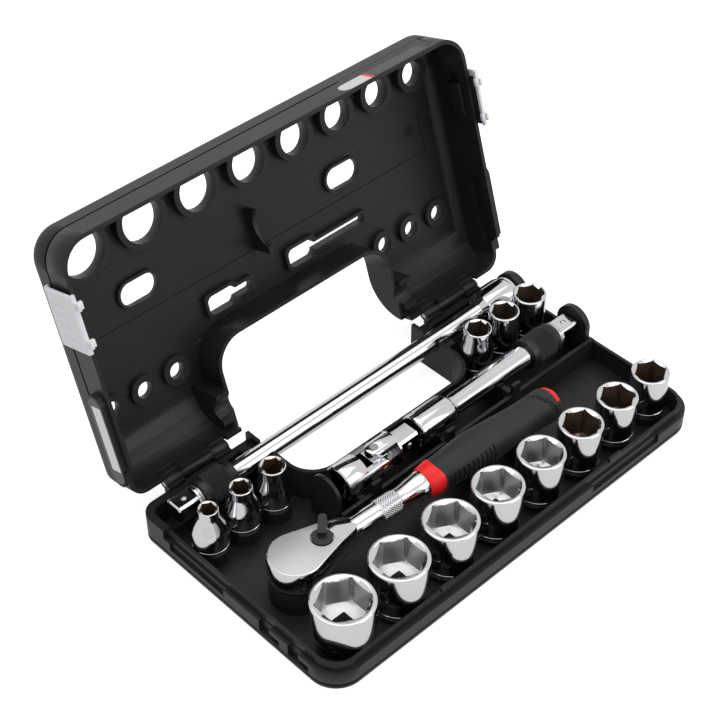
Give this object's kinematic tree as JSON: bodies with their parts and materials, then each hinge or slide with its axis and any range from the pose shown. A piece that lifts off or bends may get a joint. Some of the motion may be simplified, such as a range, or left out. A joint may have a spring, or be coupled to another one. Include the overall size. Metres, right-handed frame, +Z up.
{
  "type": "socket wrench set in case",
  "caption": "Socket wrench set in a hinged plastic carry case: ratchet, six-point sockets, universal joint and two extensions, one bridging the finger notch as a handle.",
  "frame": {"origin": "centre of the case's footprint on the surface it rests on", "axes": "+X along the case from the largest socket to the smallest of the front row, +Y towards the hinge, +Z up"},
  "size_m": [0.24, 0.1866, 0.1422],
  "materials": {
    "case_plastic": "fine moulded texture",
    "latch_plastic": "smooth satin",
    "chrome_steel": "polished chrome plating",
    "pin_steel": "plain ground steel",
    "black_collar": "black, diamond knurled",
    "red_plastic": "smooth gloss",
    "grip_rubber": "soft matte rubber with ribs"
  },
  "bodies": {
    "base": {"base_tray": "case_plastic", "hinge_pins": "pin_steel"},
    "lid": {"lid_shell": "case_plastic"},
    "latch_left": {"latch_left": "latch_plastic"},
    "latch_right": {"latch_right": "latch_plastic"},
    "socket_06": {"socket_06": "chrome_steel"},
    "socket_07": {"socket_07": "chrome_steel"},
    "socket_08": {"socket_08": "chrome_steel"},
    "socket_09": {"socket_09": "chrome_steel"},
    "socket_10": {"socket_10": "chrome_steel"},
    "socket_11": {"socket_11": "chrome_steel"},
    "socket_12": {"socket_12": "chrome_steel"},
    "socket_13": {"socket_13": "chrome_steel"},
    "socket_14": {"socket_14": "chrome_steel"},
    "socket_15": {"socket_15": "chrome_steel"},
    "socket_16": {"socket_16": "chrome_steel"},
    "socket_17": {"socket_17": "chrome_steel"},
    "socket_18": {"socket_18": "chrome_steel"},
    "socket_19": {"socket_19": "chrome_steel"},
    "ratchet": {"ratchet_body": "chrome_steel", "ratchet_cover": "pin_steel", "collar_band": "red_plastic", "grip_sleeve": "grip_rubber", "end_cap": "red_plastic"},
    "drive": {"drive_gear": "chrome_steel", "drive_ball": "pin_steel"},
    "lever": {"reversing_lever": "chrome_steel"},
    "pawl": {"pawl": "pin_steel"},
    "joint_socket": {"joint_socket_yoke": "chrome_steel"},
    "joint_cross": {"joint_cross": "chrome_steel", "joint_long_pin": "pin_steel", "joint_short_pins": "pin_steel"},
    "joint_drive": {"joint_drive_yoke": "chrome_steel", "joint_ball": "pin_steel"},
    "short_extension": {"short_bar": "chrome_steel", "short_spring": "pin_steel", "short_ring": "pin_steel", "short_ball": "pin_steel"},
    "short_collar": {"short_collar": "black_collar"},
    "long_extension": {"long_bar": "chrome_steel", "long_spring": "pin_steel", "long_ring": "pin_steel", "long_ball": "pin_steel"},
    "long_collar": {"long_collar": "black_collar"}
  },
  "joints": [
    {"name": "lid_hinge", "type": "hinge", "parent": "base", "child": "lid", "pos_m": [0, 0.06585, 0.017], "axis": [-1, 0, 0], "range_deg": [-107.5, 0]},
    {"name": "latch_left_slide", "type": "slide", "parent": "lid", "child": "latch_left", "axis": [0, 0.3007, 0.9537], "range_m": [0, 0.006]},
    {"name": "latch_right_slide", "type": "slide", "parent": "lid", "child": "latch_right", "axis": [0, 0.3007, 0.9537], "range_m": [0, 0.006]},
    {"name": "socket_06_lift", "type": "slide", "parent": "base", "child": "socket_06", "axis": [0, 0, 1], "range_m": [0, 0.04]},
    {"name": "socket_07_lift", "type": "slide", "parent": "base", "child": "socket_07", "axis": [0, 0, 1], "range_m": [0, 0.04]},
    {"name": "socket_08_lift", "type": "slide", "parent": "base", "child": "socket_08", "axis": [0, 0, 1], "range_m": [0, 0.04]},
    {"name": "socket_09_lift", "type": "slide", "parent": "base", "child": "socket_09", "axis": [0, 0, 1], "range_m": [0, 0.04]},
    {"name": "socket_10_lift", "type": "slide", "parent": "base", "child": "socket_10", "axis": [0, 0, 1], "range_m": [0, 0.04]},
    {"name": "socket_11_lift", "type": "slide", "parent": "base", "child": "socket_11", "axis": [0, 0, 1], "range_m": [0, 0.04]},
    {"name": "socket_12_lift", "type": "slide", "parent": "base", "child": "socket_12", "axis": [0, 0, 1], "range_m": [0, 0.04]},
    {"name": "socket_13_lift", "type": "slide", "parent": "base", "child": "socket_13", "axis": [0, 0, 1], "range_m": [0, 0.04]},
    {"name": "socket_14_lift", "type": "slide", "parent": "base", "child": "socket_14", "axis": [0, 0, 1], "range_m": [0, 0.04]},
    {"name": "socket_15_lift", "type": "slide", "parent": "base", "child": "socket_15", "axis": [0, 0, 1], "range_m": [0, 0.04]},
    {"name": "socket_16_lift", "type": "slide", "parent": "base", "child": "socket_16", "axis": [0, 0, 1], "range_m": [0, 0.04]},
    {"name": "socket_17_lift", "type": "slide", "parent": "base", "child": "socket_17", "axis": [0, 0, 1], "range_m": [0, 0.04]},
    {"name": "socket_18_lift", "type": "slide", "parent": "base", "child": "socket_18", "axis": [0, 0, 1], "range_m": [0, 0.04]},
    {"name": "socket_19_lift", "type": "slide", "parent": "base", "child": "socket_19", "axis": [0, 0, 1], "range_m": [0, 0.04]},
    {"name": "ratchet_lift", "type": "slide", "parent": "base", "child": "ratchet", "axis": [0, 0, 1], "range_m": [0, 0.04]},
    {"name": "drive_spin", "type": "hinge", "parent": "ratchet", "child": "drive", "pos_m": [-0.0912, -0.0122, 0.0215], "axis": [0, 0, 1], "continuous": true},
    {"name": "lever_turn", "type": "hinge", "parent": "ratchet", "child": "lever", "pos_m": [-0.07702, -0.01302, 0.0215], "axis": [0, 0, 1], "range_deg": [-98, 0]},
    {"name": "pawl_rock", "type": "hinge", "parent": "ratchet", "child": "pawl", "pos_m": [-0.07702, -0.01302, 0.0215], "axis": [0, 0, 1], "range_deg": [-6, 0]},
    {"name": "joint_lift", "type": "slide", "parent": "base", "child": "joint_socket", "axis": [0, 0, 1], "range_m": [0, 0.04]},
    {"name": "joint_pitch", "type": "hinge", "parent": "joint_socket", "child": "joint_cross", "pos_m": [-0.0242, 0.0101, 0.02], "axis": [0, -1, 0], "range_deg": [0, 45]},
    {"name": "joint_yaw", "type": "hinge", "parent": "joint_cross", "child": "joint_drive", "pos_m": [-0.0242, 0.0101, 0.02], "axis": [0, 0, 1], "range_deg": [-8, 0]},
    {"name": "short_lift", "type": "slide", "parent": "base", "child": "short_extension", "axis": [0, 0, 1], "range_m": [0, 0.04]},
    {"name": "short_collar_slide", "type": "slide", "parent": "short_extension", "child": "short_collar", "axis": [1, 0, 0], "range_m": [-0.003, 0], "stiffness_N_per_m": 400, "springref_m": 0.004},
    {"name": "long_lift", "type": "slide", "parent": "base", "child": "long_extension", "axis": [0, 0, 1], "range_m": [0, 0.04]},
    {"name": "long_collar_slide", "type": "slide", "parent": "long_extension", "child": "long_collar", "axis": [-1, 0, 0], "range_m": [-0.003, 0], "stiffness_N_per_m": 400, "springref_m": 0.004}
  ],
  "couplings": [
    {"joint": "pawl_rock", "follows": "lever_turn", "ratio": 0.061223}
  ]
}
